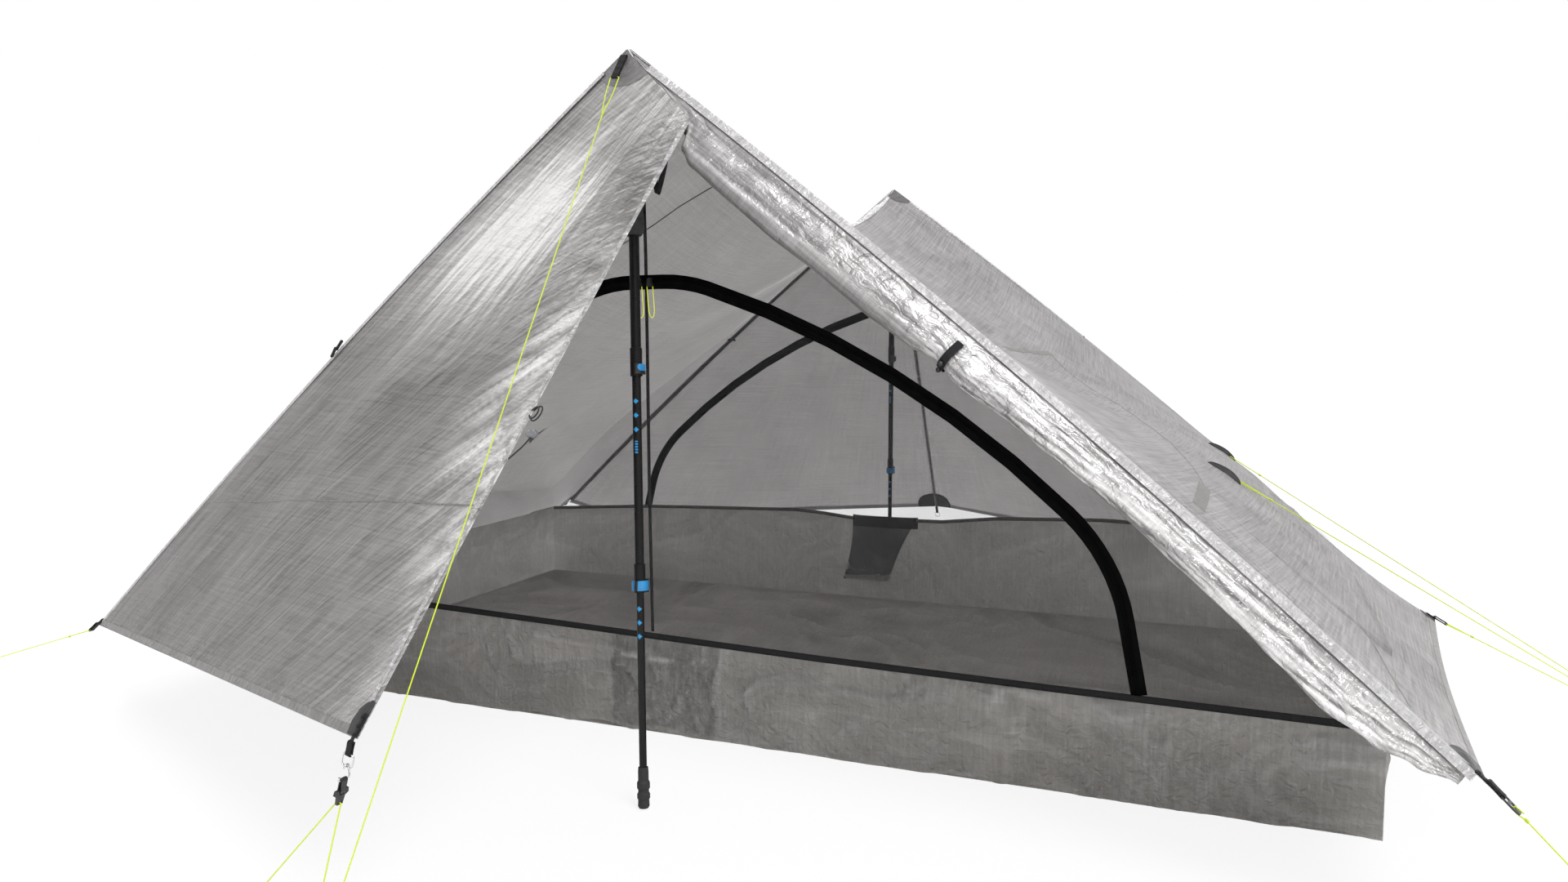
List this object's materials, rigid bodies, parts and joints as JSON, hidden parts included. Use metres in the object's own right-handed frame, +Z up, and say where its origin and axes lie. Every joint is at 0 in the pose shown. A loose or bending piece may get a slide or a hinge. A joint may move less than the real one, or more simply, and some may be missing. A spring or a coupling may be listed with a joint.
{
  "type": "trekking pole tent",
  "caption": "Two-peak trekking pole tent with sloping fly panels, storm doors, bathtub floor, arched mesh doors, telescoping poles and guylines",
  "frame": {"origin": "On the ground under the tent, at the underside of the floor sheet near its middle", "axes": "+X is the tent's right along the sleeping length, -Y is the front door, +Z is up"},
  "size_m": [3.0839, 2.8657, 1.2424],
  "materials": {
    "black_plastic": "moulded",
    "black_webbing": "woven",
    "blue_lever": "moulded",
    "carbon": "woven carbon look",
    "clear_toggle": "moulded",
    "cord": "braided",
    "floor_cloth": "woven",
    "fly_cloth": "woven",
    "grip_foam": "foam",
    "mesh_cloth": "mesh",
    "patch_cloth": "woven",
    "rubber": "moulded",
    "steel": "bright",
    "zip_tape": "zip tape"
  },
  "bodies": {
    "tent": {"canopy_right_panel": "fly_cloth", "canopy_left_panel": "fly_cloth", "front_left_storm_door": "fly_cloth", "back_right_storm_door": "fly_cloth", "back_left_storm_door": "fly_cloth", "front_right_storm_door": "fly_cloth", "bathtub_floor": "floor_cloth", "front_mesh_door": "mesh_cloth", "front_door_zipper": "zip_tape", "front_sill_tape": "zip_tape", "back_mesh_door": "mesh_cloth", "back_door_zipper": "zip_tape", "inner_mesh_walls": "mesh_cloth", "front_wall_pocket": "mesh_cloth", "back_wall_pocket": "mesh_cloth", "front_right_corner_tab": "black_webbing", "front_left_corner_tab": "black_webbing", "back_right_corner_tab": "black_webbing", "back_left_corner_tab": "black_webbing", "front_right_line_lock": "black_plastic", "right_hem_tab": "black_webbing", "right_front_tieout_tab": "black_webbing", "right_back_tieout_tab": "black_webbing", "left_hem_tab": "black_webbing", "left_front_tieout_tab": "black_webbing", "left_back_tieout_tab": "black_webbing", "front_peak_cap": "patch_cloth", "back_peak_cap": "patch_cloth", "front_peak_loop": "black_webbing", "front_door_toe_patch": "black_webbing", "front_toe_ring": "steel", "front_toe_hook": "steel", "front_toe_line_lock": "black_plastic", "back_door_toe_patch": "black_webbing", "rolled_door_strap": "black_webbing", "door_tie_loop": "black_webbing", "door_tie_toggle": "clear_toggle", "front_pole_grip": "grip_foam", "front_pole_upper_shaft": "carbon", "back_pole_grip": "grip_foam", "back_pole_upper_shaft": "carbon", "front_peak_guyline": "cord", "front_left_guyline": "cord", "front_right_guyline": "cord", "right_hem_guyline": "cord", "right_front_tieout_guyline": "cord", "right_back_tieout_guyline": "cord", "toe_guyline": "cord"},
    "front_pole_middle": {"front_pole_middle_shaft": "carbon"},
    "front_pole_lower": {"front_pole_lower_shaft": "carbon", "front_pole_tip": "rubber"},
    "front_pole_upper_lever": {"front_pole_upper_lever": "blue_lever"},
    "front_pole_lower_lever": {"front_pole_lower_lever": "blue_lever"},
    "back_pole_middle": {"back_pole_middle_shaft": "carbon"},
    "back_pole_lower": {"back_pole_lower_shaft": "carbon", "back_pole_tip": "rubber"},
    "back_pole_upper_lever": {"back_pole_upper_lever": "blue_lever"},
    "back_pole_lower_lever": {"back_pole_lower_lever": "blue_lever"},
    "front_zip_slider_right": {"front_zip_slider_right": "cord"},
    "front_zip_slider_left": {"front_zip_slider_left": "cord"}
  },
  "joints": [
    {"name": "front_pole_middle_slide", "type": "slide", "parent": "tent", "child": "front_pole_middle", "axis": [-0.0629, 0.104, 0.9926], "range_m": [0, 0.3]},
    {"name": "front_pole_lower_slide", "type": "slide", "parent": "front_pole_middle", "child": "front_pole_lower", "axis": [-0.0629, 0.104, 0.9926], "range_m": [0, 0.26]},
    {"name": "front_pole_upper_lever_hinge", "type": "hinge", "parent": "tent", "child": "front_pole_upper_lever", "pos_m": [0.0356, -0.84242, 0.70766], "axis": [0.0629, -0.104, -0.9926], "range_deg": [0, 120]},
    {"name": "front_pole_lower_lever_hinge", "type": "hinge", "parent": "front_pole_middle", "child": "front_pole_lower_lever", "pos_m": [0.06355, -0.8635, 0.35701], "axis": [-0.0629, 0.104, 0.9926], "range_deg": [0, 120]},
    {"name": "back_pole_middle_slide", "type": "slide", "parent": "tent", "child": "back_pole_middle", "axis": [0.0252, -0.0772, 0.9967], "range_m": [0, 0.3]},
    {"name": "back_pole_lower_slide", "type": "slide", "parent": "back_pole_middle", "child": "back_pole_lower", "axis": [0.0252, -0.0772, 0.9967], "range_m": [0, 0.26]},
    {"name": "back_pole_upper_lever_hinge", "type": "hinge", "parent": "tent", "child": "back_pole_upper_lever", "pos_m": [-0.00673, 0.81363, 0.70803], "axis": [-0.0252, 0.0772, -0.9967], "range_deg": [0, 120]},
    {"name": "back_pole_lower_lever_hinge", "type": "hinge", "parent": "back_pole_middle", "child": "back_pole_lower_lever", "pos_m": [-0.00978, 0.85634, 0.35825], "axis": [0.0252, -0.0772, 0.9967], "range_deg": [0, 120]},
    {"name": "front_zip_slider_right_track", "type": "hinge", "parent": "tent", "child": "front_zip_slider_right", "pos_m": [-0.2, -0.53624, -0.32419], "axis": [0, 0.9924, 0.1231], "range_deg": [0, 37.5]},
    {"name": "front_zip_slider_left_track", "type": "hinge", "parent": "tent", "child": "front_zip_slider_left", "pos_m": [0.19843, -0.51983, -0.4565], "axis": [0, -0.9924, -0.1231], "range_deg": [0, 33]}
  ]
}
